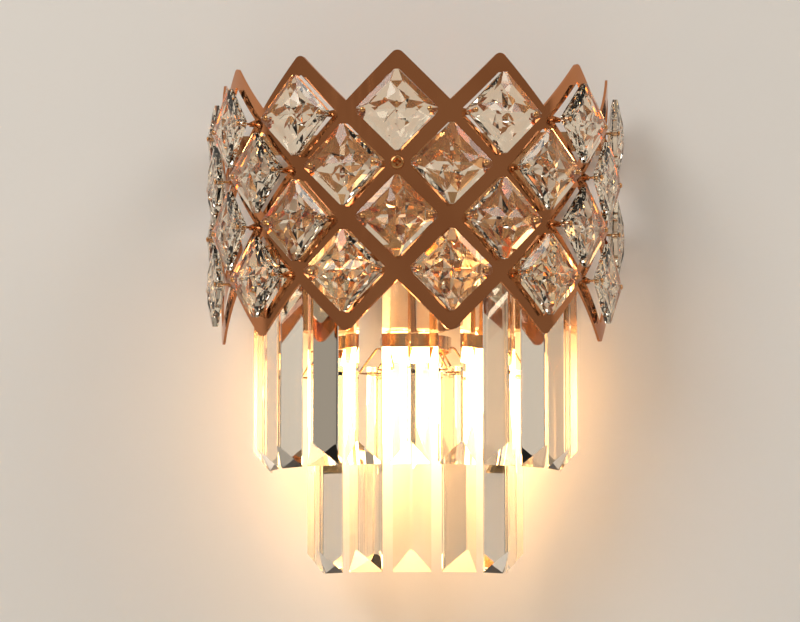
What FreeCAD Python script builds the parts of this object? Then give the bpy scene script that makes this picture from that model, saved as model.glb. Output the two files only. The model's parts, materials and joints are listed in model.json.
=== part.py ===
import FreeCAD
import Part
import math
import os
import Sketcher
from FreeCAD import Placement, Rotation, Vector

# A crystal wall sconce. +Z is up, the wall is the plane y = 0, and the front faces -Y.
# The origin is the middle of the back plate's wall side. All sizes are millimetres and degrees.
SIZES = {
    # the rolled lattice band and its grid of square openings
    "axis_depth": 36.5,         # wall to the upright axis that the band, hoops and tiers share
    "band_radius": 117.0,       # outer face of the band
    "band_sheet": 1.5,
    "band_reach": 215.0,        # sector of sheet that the openings are cut from
    "strip_width": 8.5,         # gold between two openings
    "column_angle": 30.0,       # one opening to the next round the band
    "top_knot": 84.9,           # height of the crossing point under the top tips
    "tip_radius": 4.2,
    "opening_ease": 1.0,        # how far the top and bottom corner of an opening is cut short
    "ear_half": 2.1,            # half height of an ear that carries a crystal
    "ear_taper": 0.8,           # half of the height that an ear loses towards its end
    "ear_reach": 17.2,          # inner end of an ear, from the opening's middle
    # square crystals
    "crystal_side": 34.8,
    "crystal_corner": 1.6,      # cut at each corner of the outline, along the side
    "crystal_edge": 1.5,        # half thickness at the rim
    "crystal_bevel": 3.4,       # width of the bevelled rim
    "crystal_shoulder": 3.0,    # half thickness inside the rim
    "crystal_star": 5.0,        # half thickness at the star's point
    "crystal_radius": 121.5,    # middle plane of a crystal, from the axis
    "crystal_drop": 0.7,        # crystals and ears stand this far under the opening's middle
    "pin_offset": 19.4,         # pin to the crystal's middle
    "pin_hole": 1.15,
    "pin_shank": 1.05,
    "pin_seat": 1.3,            # rim to the pin's head, where the bevel has begun
    "pin_head": 1.8,
    "pin_head_rise": 1.1,
    # hanging crystal bars and their clips
    "bar_width": 22.5,
    "bar_depth": 10.5,
    "bar_land": 0.8,            # narrow flat that breaks each long edge
    "bar_length": 122.5,
    "bar_slant": 12.5,          # rise of the slanted lower end
    "bar_drop": 15.5,           # strip's hole to the bar's hole
    "bar_hole_down": 4.0,       # bar's top to its hole
    "bar_hole": 1.3,
    "hang_inset": 3.7,          # strip's middle to the bar's flat face
    "hole_turn": 3.0,           # the first hole stands this far round from the middle
    "clip_wire": 0.55,
    "clip_half_top": 2.0,
    "clip_room_out": 3.8,       # the bar's long edge to the wire's bend outside it
    "clip_room_in": 1.9,        # the bar's flat face to the wire's bend inside it
    "clip_prong": 3.0,          # how deep each end of the wire stands in the bar
    # hoops that the bars hang from
    "upper_radius": 90.7,
    "upper_step": 18.0,
    "upper_base": -15.7,        # lower edge of the upper strip
    "lower_radius": 58.0,
    "lower_step": 30.0,
    "lower_base": -77.0,
    "hoop_tall": 8.0,
    "hoop_sheet": 1.2,
    "hoop_hole": 1.3,
    "hoop_hole_up": 2.0,
    "leg_spacing": 76.0,
    "leg_width": 12.0,
    "leg_top": -44.0,
    # back plate, a shallow pressed tray
    "plate_width": 160.0,
    "plate_tall": 120.0,
    "plate_deep": 20.0,
    "plate_sheet": 1.2,
    "plate_corner": 12.0,
    "lead_hole": 3.4,
    # wall bracket, studs and cap nuts
    "bracket_length": 124.0,
    "bracket_tall": 22.0,
    "bracket_sheet": 2.0,
    "stud_spacing": 100.0,
    "stud_radius": 2.0,
    "stud_play": 0.6,           # round a stud in the back plate
    "cap_nut": 4.6,             # corner of the cap nut's hexagon, from its middle
    "cap_nut_flats": 3.6,
    "cap_nut_tall": 7.0,
    "slot_spacing": 70.0,
    "slot_length": 14.0,
    "slot_width": 4.8,
    "cable_hole": 6.0,
    # carriers of the band
    "arm_sheet": 2.0,
    "arm_width": 12.0,
    "arm_hang": 14.0,
    "end_angle": 105.0,         # middle of the band to the screw at each end
    "screw_radius": 2.0,
    "screw_head": 4.0,
    "screw_head_rise": 2.4,
    "screw_hole": 2.2,
    "screw_end": 4.5,           # end of the screw, behind the strips it holds
    "nut_corner": 4.0,
    "nut_tall": 3.2,
    "nut_gap": 0.2,
    "thread_play": 0.05,
    "earth_radius": 1.75,
    "earth_head": 3.4,
    "earth_head_rise": 2.2,
    "earth_across": 18.0,
    "earth_up": -6.5,
    # lamp bracket, lamp holders and candle lamps
    "lamp_spacing": 54.0,
    "lamp_depth": 46.0,
    "shelf_height": -5.0,
    "shelf_sheet": 1.5,
    "shelf_width": 84.0,
    "shelf_reach": 60.0,
    "flange_tall": 17.0,
    "holder_radius": 14.0,
    "holder_length": 56.0,
    "nipple_radius": 5.0,
    "glass_radius": 17.5,
    "glass_top": -64.0,
    "glass_length": 82.0,
    "cap_radius": 6.8,
    "cap_length": 24.0,
    "cap_contact": 3.0,
    "nipple_up": 6.0,           # top of the nipple over the shelf
    # terminal block and leads
    "terminal_half": 17.0,
    "terminal_low": 14.0,
    "terminal_tall": 12.0,
    "terminal_deep": 11.0,
    "terminal_pitch": 11.0,
    "terminal_way": 2.0,        # half width of the way that a lead is pushed into
    "terminal_foot": 6.0,
    "terminal_foot_deep": 2.5,
    "lead_wire": 1.4,
    "lead_bend": 5.0,
    "lead_inside": 8.0,         # end of a lead, behind the back plate's front
}

THROUGH = 24.0      # length of a tool that passes right through a sheet
TURNED_SIDES = 24   # flats round a turned piece
HEAD_SIDES = 12     # flats round a screw head

doc = FreeCAD.newDocument("crystal_wall_sconce")
sheet = doc.addObject("Spreadsheet::Sheet", "sizes")
for row, (word, number) in enumerate(SIZES.items(), start=1):
    sheet.set(f"A{row}", word)
    sheet.set(f"B{row}", str(number))
    sheet.setAlias(f"B{row}", word)
doc.recompute()

nodes = []


def size(word):
    """The number that the sheet holds under this word."""
    return float(sheet.get(word))


def cells(text):
    """An expression over the sheet's words, with each word given its sheet."""
    for word in sorted(SIZES, key=len, reverse=True):
        text = text.replace(f"<{word}>", f"sizes.{word}")
    return text


def bind(thing, **texts):
    """Ties properties of an object to expressions over the sheet, and returns the object."""
    for name, text in texts.items():
        thing.setExpression(name, cells(text))
    return thing


def keep(thing, label):
    """Marks an object as a sub-part that is written out under this name."""
    thing.Label = label
    nodes.append(thing)
    return thing


def about_axis(angle, radius, height, tilt=90.0):
    """Where a piece stands: its local Z points away from the upright axis, its local Y up."""
    turn = Rotation(Vector(0, 0, 1), angle) * Rotation(Vector(1, 0, 0), tilt)
    out = math.radians(angle)
    spot = Vector(radius * math.sin(out), -size("axis_depth") - radius * math.cos(out), height)
    return Placement(spot, turn)


def ring_of(radius, level, sides=6, lean=0.0):
    """A ring of corners, the first on local X. lean is the rise of its plane along local X."""
    ring = []
    for number in range(sides):
        turn = 2 * math.pi * number / sides
        across = radius * math.cos(turn)
        ring.append(Vector(across, radius * math.sin(turn), level + lean * across))
    return ring


def primitive(kind, name, place=Placement(), **texts):
    """A Part primitive whose sizes are bound to the sheet."""
    thing = doc.addObject(f"Part::{kind}", name)
    thing.Placement = place
    return bind(thing, **texts)


def combine(kind, name, shapes):
    """A boolean of several objects: MultiFuse or MultiCommon."""
    thing = doc.addObject(f"Part::{kind}", name)
    thing.Shapes = shapes
    return thing


def cut(name, base, tool):
    """base with tool taken away."""
    thing = doc.addObject("Part::Cut", name)
    thing.Base = base
    thing.Tool = tool
    return thing


def copies(name, master, places):
    """Copies of one finished solid, each at its own place, as a group of separate solids."""
    doc.recompute()
    thing = doc.addObject("Part::Feature", name)
    solids = []
    for place in places:
        solid = master.Shape.copy()
        solid.transformShape(place.toMatrix() * solid.Placement.toMatrix(), True)
        solids.append(solid)
    thing.Shape = Part.makeCompound(solids)
    return thing


def tube(name, place, outer, inner, **texts):
    """A round tube, or a part of one. Both radii are expressions over the sheet."""
    skin = primitive("Cylinder", f"{name}_skin", place, Radius=outer, **texts)
    core = primitive("Cylinder", f"{name}_core", place, Radius=inner, **texts)
    return cut(name, skin, core)


def new_body(name, place=Placement()):
    """An empty body at its place."""
    body = doc.addObject("PartDesign::Body", name)
    body.Placement = place
    return body


def new_sketch(body, name, plane="XY_Plane", lift="0"):
    """A sketch on one of the body's own planes, raised off it by an expression."""
    sketch = body.newObject("Sketcher::SketchObject", name)
    face = next(item for item in body.Origin.OriginFeatures if item.Role == plane)
    sketch.AttachmentSupport = [(face, "")]
    sketch.MapMode = "FlatFace"
    sketch.setExpression("AttachmentOffset.Base.z", cells(lift))
    return sketch


def outline(sketch, corners):
    """A closed outline of straight edges. Each corner is a pair of expressions over the sheet."""
    count = len(corners)
    start = sketch.GeometryCount
    ring = ring_of(10, 0, sides=count)
    for place in range(count):
        sketch.addGeometry(Part.LineSegment(ring[place], ring[(place + 1) % count]))
    for place in range(count):
        following = (place + 1) % count
        joined = Sketcher.Constraint("Coincident", start + place, 2, start + following, 1)
        sketch.addConstraint(joined)
    for place, (across, along) in enumerate(corners):
        spot = ring[place]
        for kind, number, text in (("DistanceX", spot.x, across), ("DistanceY", spot.y, along)):
            index = sketch.addConstraint(Sketcher.Constraint(kind, -1, 1, start + place, 1, number))
            sketch.setExpression(f"Constraints[{index}]", cells(text))


def circle(sketch, across, along, radius):
    """A full circle. Its middle and its radius are expressions over the sheet."""
    index = sketch.addGeometry(Part.Circle(Vector(3, 4, 0), Vector(0, 0, 1), 2))
    for kind, number, text in (("DistanceX", 3, across), ("DistanceY", 4, along)):
        place = sketch.addConstraint(Sketcher.Constraint(kind, -1, 1, index, 3, number))
        sketch.setExpression(f"Constraints[{place}]", cells(text))
    place = sketch.addConstraint(Sketcher.Constraint("Radius", index, 2))
    sketch.setExpression(f"Constraints[{place}]", cells(radius))


def pad(body, sketch, length, middle=False, back=False):
    """Thickens a sketch."""
    feature = body.newObject("PartDesign::Pad", f"{sketch.Name}_pad")
    feature.Profile = sketch
    feature.Midplane = middle
    feature.Reversed = back
    return bind(feature, Length=length)


def pocket(body, sketch, length, middle=False, back=False):
    """Cuts a sketch out of what the body holds so far."""
    doc.recompute()
    feature = body.newObject("PartDesign::Pocket", f"{sketch.Name}_cut")
    feature.Profile = sketch
    feature.Midplane = middle
    feature.Reversed = back
    return bind(feature, Length=length)


def rectangle(left, low, right, high):
    """Corners of an upright rectangle, as expressions."""
    return [(left, low), (right, low), (right, high), (left, high)]


# ---------------------------------------------------------------- lattice band
# The openings lie on a square grid that is rolled with the sheet. Rows 1 and 3 have a column in
# front; rows 2 and 4 stand half a column round from them.
ROW_PITCH = size("band_radius") * math.radians(size("column_angle") / 2)
ROWS = {1: [-3, -2, -1, 0, 1, 2, 3], 2: [-2.5, -1.5, -0.5, 0.5, 1.5, 2.5]}
ROWS[3] = ROWS[1]
ROWS[4] = ROWS[2]
HALF_STRIP = size("strip_width") / math.sqrt(2)
LEAD_HEIGHT = size("shelf_height") + size("flange_tall") + size("nipple_up")


def row_height(row):
    """Height of the middle of a row of openings."""
    return size("top_knot") - row * ROW_PITCH


def stations(rows, radius, drop=0.0):
    """The places of the openings' middles at this distance from the axis."""
    places = []
    for row in rows:
        for column in ROWS[row]:
            places.append(about_axis(column * size("column_angle"), radius, row_height(row) - drop))
    return places


def diamond_tool():
    """A square prism on its corner, long enough to pass through the sheet, with rounded edges."""
    reach = ROW_PITCH + HALF_STRIP
    corner = size("tip_radius")
    box = doc.addObject("Part::Box", "frame_box")
    box.Length = reach * math.sqrt(2)
    box.Width = reach * math.sqrt(2)
    box.Height = THROUGH
    box.Placement = Placement(Vector(0, -reach, -THROUGH / 2), Rotation(Vector(0, 0, 1), 45))
    doc.recompute()
    rounded = doc.addObject("Part::Fillet", "frame_tool")
    rounded.Base = box
    upright = []
    for number, edge in enumerate(box.Shape.Edges, start=1):
        if abs(edge.Vertexes[0].Z - edge.Vertexes[1].Z) > 1:
            upright.append((number, corner, corner))
    rounded.Edges = upright
    return rounded


def opening_tool():
    """A square prism on its corner that leaves an ear of sheet at each side."""
    body = new_body("opening_tool")
    sketch = new_sketch(body, "opening_outline")
    half = "(<band_radius> * pi / 12 - <strip_width> / sqrt(2))"
    ear_low = "(-<ear_half> - <crystal_drop>)"
    ear_high = "(<ear_half> - <crystal_drop>)"
    right = [
        ("<opening_ease>", f"<opening_ease> - {half}"),
        (f"{half} + {ear_low}", ear_low),
        ("<ear_reach>", f"{ear_low} + <ear_taper>"),
        ("<ear_reach>", f"{ear_high} - <ear_taper>"),
        (f"{half} - {ear_high}", ear_high),
        ("<opening_ease>", f"{half} - <opening_ease>"),
    ]
    left = [(f"-({across})", along) for across, along in reversed(right)]
    outline(sketch, right + left)
    pad(body, sketch, str(THROUGH), middle=True)
    return body


def drills(name, radius, places, sides=6):
    """Straight drills through sheet, one at each place."""
    rings = [ring_of(radius, level, sides) for level in (-THROUGH / 3, THROUGH / 3)]
    return copies(name, faceted(f"{name}_bit", rings), places)


def lattice_band():
    """Rolled sheet, kept where the frames of the openings cover it, with the openings cut out."""
    turn = Rotation(Vector(0, 0, 1), -90 - size("band_reach") / 2)
    start = Placement(Vector(0, -size("axis_depth"), row_height(5) - THROUGH), turn)
    tall = f"{5 * ROW_PITCH + 2 * THROUGH}"
    rolled = tube("rolled_sheet", start, "<band_radius>", "<band_radius> - <band_sheet>",
                  Angle="<band_reach>", Height=tall)
    places = stations((1, 2, 3, 4), size("band_radius"))
    frames = copies("all_frames", diamond_tool(), places)
    openings = copies("all_openings", opening_tool(), places)
    merged = doc.addObject("Part::Feature", "merged_frames")
    merged.Shape = frames.Shape.Solids[0].fuse(frames.Shape.Solids[1:])
    kept = doc.addObject("Part::Common", "framed_sheet")
    kept.Base = rolled
    kept.Tool = merged
    pierced = cut("pierced_sheet", kept, openings)
    screws = drills("band_drills", size("screw_hole"), band_screw_places())
    keep(cut("band", pierced, screws), "lattice_band")


# ---------------------------------------------------------------- square crystals and their pins
def faceted(name, rings, low_tip=None, high_tip=None):
    """A solid of flat faces through rings of corners, closed at each end by a tip or a flat face."""
    faces = []
    for low, high in zip(rings, rings[1:]):
        for place in range(len(low)):
            following = (place + 1) % len(low)
            faces.append([low[place], low[following], high[following], high[place]])
    for ring, tip in ((rings[0], low_tip), (rings[-1], high_tip)):
        if tip is None:
            faces.append(ring)
        else:
            faces += [[ring[place - 1], ring[place], tip] for place in range(len(ring))]
    shell = Part.makeShell([Part.Face(Part.makePolygon(corners + corners[:1])) for corners in faces])
    solid = Part.makeSolid(shell)
    if solid.Volume < 0:
        solid.reverse()
    thing = doc.addObject("Part::Feature", name)
    thing.Shape = solid
    return thing


def square_ring(half, corner, level):
    """A square with cut corners that stands on one corner, at this height over the middle plane."""
    flat = half * math.sqrt(2) - corner / math.sqrt(2)
    cut_half = corner / math.sqrt(2)
    quarter = [(flat, -cut_half), (flat, cut_half), (cut_half, flat), (-cut_half, flat)]
    ring = quarter + [(-across, -along) for across, along in quarter]
    return [Vector(across, along, level) for across, along in ring]


def cut_crystal():
    """One crystal: a thin rim, a bevel round it, and a low eight-sided star on both faces."""
    half = size("crystal_side") / 2
    corner = size("crystal_corner")
    bevel = size("crystal_bevel")
    edge = size("crystal_edge")
    shoulder = size("crystal_shoulder")
    star = size("crystal_star")
    blank = faceted("crystal_blank", [
        square_ring(half - bevel, corner + bevel, -shoulder),
        square_ring(half, corner, -edge),
        square_ring(half, corner, edge),
        square_ring(half - bevel, corner + bevel, shoulder),
    ], Vector(0, 0, -star), Vector(0, 0, star))
    offset = size("pin_offset")
    spots = [Placement(Vector(side * offset, 0, 0), Rotation()) for side in (-1, 1)]
    return cut("cut_crystal", blank, drills("crystal_drills", size("pin_hole"), spots, sides=4))


def pin_master():
    """One pin: a square rod that stands on the band and a low head in front of the crystal."""
    radius = size("band_radius")
    offset = size("pin_offset")
    deep = math.sqrt(radius ** 2 - offset ** 2)
    front = size("crystal_edge") + size("pin_seat")
    shank = size("pin_shank")
    head = size("pin_head")
    return faceted("pin_master", [
        ring_of(shank, deep - size("crystal_radius"), 4, lean=-offset / deep),
        ring_of(shank, front, 4),
        ring_of(head, front, 4),
        ring_of(head * 0.6, front + size("pin_head_rise"), 4),
    ])


def crystals():
    """The four rows of crystals, and two pins for each crystal."""
    master = cut_crystal()
    radius = size("crystal_radius")
    drop = size("crystal_drop")
    for row in ROWS:
        keep(copies(f"row_{row}", master, stations([row], radius, drop)), f"crystals_row_{row}")
    aside = Placement(Vector(size("pin_offset"), 0, 0), Rotation())
    places = []
    for place in stations((1, 2, 3, 4), radius, drop):
        for turn in (0, 180):
            half_turn = Placement(Vector(0, 0, 0), Rotation(Vector(0, 0, 1), turn))
            places.append(place * half_turn * aside)
    keep(copies("pins", pin_master(), places), "crystal_pins")


# ---------------------------------------------------------------- hanging bars, clips and hoops
def bar(label, angle, radius, hole_height):
    """A three-sided crystal bar, its edge outwards, hung by a hole near its top."""
    top = hole_height - size("bar_drop") + size("bar_hole_down")
    body = new_body(label, about_axis(angle, radius - size("hang_inset"), top, tilt=0))
    section = new_sketch(body, f"{label}_section")
    half = "<bar_width> / 2"
    outline(section, [
        (f"-({half})", "0"), (half, "0"), (half, "-<bar_land>"), ("<bar_land>", "-<bar_depth>"),
        ("-<bar_land>", "-<bar_depth>"), (f"-({half})", "-<bar_land>"),
    ])
    pad(body, section, "<bar_length>", back=True)
    slant = new_sketch(body, f"{label}_slant", plane="YZ_Plane")
    outline(slant, [
        ("0", "-<bar_length>"), ("-<bar_depth>", "-<bar_length> + <bar_slant>"),
        ("-<bar_depth> - 4", "-<bar_length> - 2"),
    ])
    pocket(body, slant, "<bar_width> + 2", middle=True)
    hole = new_sketch(body, f"{label}_hole", plane="XZ_Plane")
    turns = range(0, 360, 60)
    outline(hole, [
        (f"<bar_hole> * cos({turn})", f"<bar_hole> * sin({turn}) - <bar_hole_down>") for turn in turns
    ])
    pocket(body, hole, "<bar_depth> * 3", middle=True)
    keep(body, label)


def clip(label, angle, radius, hole_height):
    """A wire pinch clip: through the strip's hole, down both sides, and into the bar's hole."""
    drop = -size("bar_drop")
    top = size("clip_half_top")
    flat_face = size("hang_inset")
    long_edge = flat_face - size("bar_depth")
    prong = size("clip_prong")
    path = [
        Vector(0, long_edge + prong, drop),
        Vector(0, long_edge - size("clip_room_out"), drop),
        Vector(0, -top, 0),
        Vector(0, top, 0),
        Vector(0, flat_face + size("clip_room_in"), drop),
        Vector(0, flat_face - prong, drop),
    ]
    keep(wire(label, path, size("clip_wire"), about_axis(angle, radius, hole_height, tilt=0)), label)


def hoop_strip(tier, leg):
    """A flat strip bent to a D, its straight back against the back plate, with two legs if asked."""
    base = size(f"{tier}_base")
    half = "<hoop_sheet> / 2"
    radius = f"<{tier}_radius>"
    low = Placement(Vector(0, -size("axis_depth"), base), Rotation())
    ring = tube(f"{tier}_ring", low, f"{radius} + {half}", f"{radius} - {half}", Height="<hoop_tall>")
    plate = size("plate_deep")
    corner = Placement(Vector(-2 * size("band_radius"), -plate, base - 1), Rotation())
    behind = primitive("Box", f"{tier}_behind", corner, Length="<band_radius> * 4",
                       Width="<band_radius> * 2", Height="<hoop_tall> + 2")
    arc = cut(f"{tier}_arc", ring, behind)
    front = plate + size("hoop_sheet")
    outside = size(f"{tier}_radius") + size("hoop_sheet") / 2
    reach = math.sqrt(outside ** 2 - (size("axis_depth") - front) ** 2)
    start = Placement(Vector(-reach, -front, base), Rotation())
    chord = primitive("Box", f"{tier}_chord", start, Width="<hoop_sheet>", Height="<hoop_tall>")
    chord.Length = 2 * reach
    pieces = [arc, chord]
    for side in (-1, 1) if leg else ():
        middle = side * size("leg_spacing") / 2
        spot = Placement(Vector(middle - size("leg_width") / 2, -front, base), Rotation())
        pieces.append(primitive("Box", f"{tier}_leg_{side + 1}", spot, Length="<leg_width>",
                                Width="<hoop_sheet>", Height=f"<leg_top> - <{tier}_base>"))
    return combine("MultiFuse", f"{tier}_bent", pieces)


def hoop(tier, count, leg):
    """One hoop with a hole for each bar, and the bars and clips that hang from it."""
    radius = size(f"{tier}_radius")
    height = size(f"{tier}_base") + size("hoop_hole_up")
    steps = [place - (count - 1) / 2 for place in range(count)]
    angles = [size("hole_turn") + size(f"{tier}_step") * step for step in steps]
    places = [about_axis(angle, radius, height) for angle in angles]
    holes = drills(f"{tier}_drills", size("hoop_hole"), places, sides=4)
    keep(cut(f"{tier}_strip", hoop_strip(tier, leg), holes), f"{tier}_hoop")
    for place, angle in enumerate(angles, start=1):
        bar(f"{tier}_bar_{place:02d}", angle, radius, height)
        clip(f"{tier}_clip_{place:02d}", angle, radius, height)


# ---------------------------------------------------------------- back plate and its wall bracket
def tray_block(word, inset, depth, lift):
    """A block with four rounded corners: the tray's outside, or the hollow inside it."""
    body = new_body(f"tray_{word}")
    sketch = new_sketch(body, f"tray_{word}_outline", plane="XZ_Plane", lift=lift)
    wide = f"<plate_width> / 2 - {inset}"
    tall = f"<plate_tall> / 2 - {inset}"
    outline(sketch, rectangle(f"-({wide})", f"-({tall})", wide, tall))
    block = pad(body, sketch, depth)
    doc.recompute()
    rounded = body.newObject("PartDesign::Fillet", f"tray_{word}_corners")
    edges = []
    for number, edge in enumerate(block.Shape.Edges, start=1):
        if abs(edge.Vertexes[0].Y - edge.Vertexes[1].Y) > 1:
            edges.append(f"Edge{number}")
    rounded.Base = (block, edges)
    bind(rounded, Radius=f"<plate_corner> - {inset}")
    return body


def back_plate():
    """A pressed tray with rounded corners, open to the wall, with holes for two studs and the leads."""
    skin = tray_block("skin", "0", "<plate_deep>", "0")
    hollow = tray_block("hollow", "<plate_sheet>", "<plate_deep> - <plate_sheet> + 1", "-1")
    tray = cut("tray", skin, hollow)
    half = size("stud_spacing") / 2
    across = size("lamp_spacing") / 2
    front = size("plate_deep")
    stud_places = [facing_front(side * half, 0, front) for side in (-1, 1)]
    lead_places = [facing_front(side * across, LEAD_HEIGHT, front) for side in (-1, 1)]
    studs = drills("stud_holes", size("stud_radius") + size("stud_play"), stud_places)
    leads = drills("lead_holes", size("lead_hole"), lead_places)
    keep(cut("pressed_tray", tray, combine("MultiFuse", "tray_drills", [studs, leads])), "back_plate")


def wall_bracket():
    """A flat bar against the wall with two slots for wall screws and a hole for the house cable."""
    body = new_body("bracket")
    bar_sketch = new_sketch(body, "bracket_outline", plane="XZ_Plane")
    half = "<bracket_length> / 2"
    tall = "<bracket_tall> / 2"
    outline(bar_sketch, rectangle(f"-{half}", f"-{tall}", half, tall))
    pad(body, bar_sketch, "<bracket_sheet>")
    middle = new_sketch(body, "bracket_cable", plane="XZ_Plane")
    circle(middle, "0", "0", "<cable_hole>")
    reach = "(<slot_length> - <slot_width>) / 2"
    spots = ("-<slot_spacing> / 2", "<slot_spacing> / 2")
    for spot in spots:
        for end in ("-", "+"):
            circle(middle, f"{spot} {end} {reach}", "0", "<slot_width> / 2")
    pocket(body, middle, "<bracket_sheet> * 3", middle=True)
    slots = new_sketch(body, "bracket_slots", plane="XZ_Plane")
    tall = "<slot_width> / 2"
    for spot in spots:
        outline(slots, rectangle(f"{spot} - {reach}", f"-{tall}", f"{spot} + {reach}", tall))
    pocket(body, slots, "<bracket_sheet> * 3", middle=True)
    keep(body, "wall_bracket")


def facing_front(across, up, forward=0.0):
    """A place on the back plate whose local Z points to the front."""
    return Placement(Vector(across, -forward, up), Rotation(Vector(1, 0, 0), 90))


def band_screw_places():
    """Where the three screws pass through the band: one in front and one at each end."""
    radius = size("band_radius")
    places = [about_axis(0, radius, row_height(2))]
    return places + [about_axis(side * size("end_angle"), radius, row_height(1)) for side in (-1, 1)]


def screw_master(name, shank, length, head, rise):
    """A pan-head screw: a round head in front of local Z = 0 and a shank behind it."""
    pan = faceted(f"{name}_head", [
        ring_of(head, 0, HEAD_SIDES),
        ring_of(head, rise / 2, HEAD_SIDES),
        ring_of(head * 0.7, rise, HEAD_SIDES),
    ])
    rod = faceted(f"{name}_shank", [ring_of(shank, -length), ring_of(shank, rise / 2)])
    return combine("MultiFuse", f"{name}_master", [pan, rod])


def bored(name, blank, places, shank, ends):
    """Copies of a nut's blank, each with the hole that its screw or stud stands in."""
    bore = faceted(f"{name}_bore", [ring_of(shank + size("thread_play"), end) for end in ends])
    blanks = copies(f"{name}_blanks", blank, places)
    return cut(f"{name}_bored", blanks, copies(f"{name}_bores", bore, places))


def fasteners():
    """Studs and cap nuts of the bracket, screws and nuts of the band, and the earth screw."""
    deep = size("plate_deep")
    inside = deep + 4
    half = size("stud_spacing") / 2
    pair = [facing_front(side * half, 0) for side in (-1, 1)]
    shank = size("stud_radius")
    stud = faceted("stud", [ring_of(shank, size("bracket_sheet")), ring_of(shank, inside)])
    keep(copies("studs", stud, pair), "bracket_studs")
    corner = size("cap_nut")
    flats = deep + size("cap_nut_flats")
    tip = deep + size("cap_nut_tall")
    cap = faceted("cap_nut", [
        ring_of(corner, deep), ring_of(corner, flats),
        ring_of(corner * 0.8, (flats + tip) / 2), ring_of(corner * 0.5, tip),
    ])
    keep(bored("cap", cap, pair, shank, (deep - 1, inside + 0.2)), "cap_nuts")
    places = band_screw_places()
    behind = size("band_sheet") + size("arm_sheet")
    end = behind + size("screw_end")
    shank = size("screw_radius")
    screw = screw_master("band_screw", shank, end, size("screw_head"), size("screw_head_rise"))
    keep(copies("long_screws", screw, places), "band_screws")
    near = -behind - size("nut_gap")
    far = near - size("nut_tall")
    nut = faceted("band_nut", [ring_of(size("nut_corner"), far), ring_of(size("nut_corner"), near)])
    keep(bored("nut", nut, places, shank, (far - 1, near + 1)), "band_nuts")
    shank = size("earth_radius")
    earth = screw_master("earth", shank, 0.0, size("earth_head"), size("earth_head_rise"))
    spot = facing_front(size("earth_across"), size("earth_up"), size("bracket_sheet"))
    keep(copies("earth_place", earth, [spot]), "earth_screw")


# ---------------------------------------------------------------- arms that carry the band
def front_arm():
    """A bent strip from the back plate to the middle of the band."""
    body = new_body("arm_strip")
    side = new_sketch(body, "arm_side", plane="YZ_Plane")
    low = str(row_height(2) - size("arm_hang") / 2)
    high = f"{low} + <arm_hang>"
    rear = "-<plate_deep>"
    front = "-(<axis_depth> + <band_radius>)"
    inside = f"{front} + <band_sheet> + <arm_sheet>"
    outline(side, [
        (rear, low), (rear, high), (front, high), (front, low), (inside, low),
        (inside, f"{high} - <arm_sheet>"), (f"{rear} - <arm_sheet>", f"{high} - <arm_sheet>"),
        (f"{rear} - <arm_sheet>", low),
    ])
    pad(body, side, "<arm_width>", middle=True)
    start = Placement(Vector(0, -size("axis_depth"), 0), Rotation())
    bore = primitive("Cylinder", "band_bore", start,
                     Radius="<band_radius> - <band_sheet>", Height="<band_radius>")
    fitted = combine("MultiCommon", "fitted_arm", [body, bore])
    hole = drills("arm_drills", size("screw_hole"), band_screw_places()[:1])
    keep(cut("drilled_arm", fitted, hole), "front_arm")


def cross_arm():
    """A strip across the back plate whose ends are curled to lie inside the band's two ends."""
    low = row_height(1) - size("arm_width") / 2
    face = size("plate_deep") + size("arm_sheet")
    behind = size("axis_depth") - face
    inner = size("band_radius") - size("band_sheet")
    half = math.sqrt((inner - 1) ** 2 - behind ** 2)
    start = Placement(Vector(-half, -face, low), Rotation())
    middle = primitive("Box", "arm_middle", start, Width="<arm_sheet>", Height="<arm_width>")
    middle.Length = 2 * half
    meeting = 180 - math.degrees(math.acos(behind / size("band_radius")))
    end = size("end_angle") + 2.5
    pieces = [middle]
    for side, first in ((-1, -end), (1, meeting)):
        place = Placement(Vector(0, -size("axis_depth"), low), Rotation(Vector(0, 0, 1), first - 90))
        pieces.append(tube(f"lug_{side + 1}", place, "<band_radius> - <band_sheet>",
                           "<band_radius> - <band_sheet> - <arm_sheet>", Height="<arm_width>",
                           Angle=f"{end - meeting}"))
    bent = combine("MultiFuse", "bent_cross_arm", pieces)
    holes = drills("cross_drills", size("screw_hole"), band_screw_places()[1:])
    keep(cut("drilled_cross_arm", bent, holes), "cross_arm")


# ---------------------------------------------------------------- lamp bracket, holders and lamps
def lamp_bracket():
    """An angle: a flange on the back plate and a shelf that two lamp holders hang from."""
    body = new_body("angle")
    side = new_sketch(body, "angle_side", plane="YZ_Plane")
    rear = "-<plate_deep>"
    front = f"{rear} - <shelf_sheet>"
    under = "<shelf_height> - <shelf_sheet>"
    top = "<shelf_height> + <flange_tall>"
    outline(side, [
        (rear, under), (rear, top), (front, top), (front, "<shelf_height>"),
        ("-<shelf_reach>", "<shelf_height>"), ("-<shelf_reach>", under),
    ])
    pad(body, side, "<shelf_width>", middle=True)
    holes = new_sketch(body, "shelf_holes", plane="XY_Plane")
    for spot in ("-<lamp_spacing> / 2", "<lamp_spacing> / 2"):
        circle(holes, spot, "-<lamp_depth>", "<nipple_radius> + 0.1")
    pocket(body, holes, "40", middle=True)
    keep(body, "lamp_bracket")


def turned(name, points, places, low_tip=None):
    """A turned piece of many flats, through (radius, height) points, copied to its places."""
    rings = [ring_of(radius, height, TURNED_SIDES) for radius, height in points]
    return copies(name, faceted(f"{name}_master", rings, low_tip), places)


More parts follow.
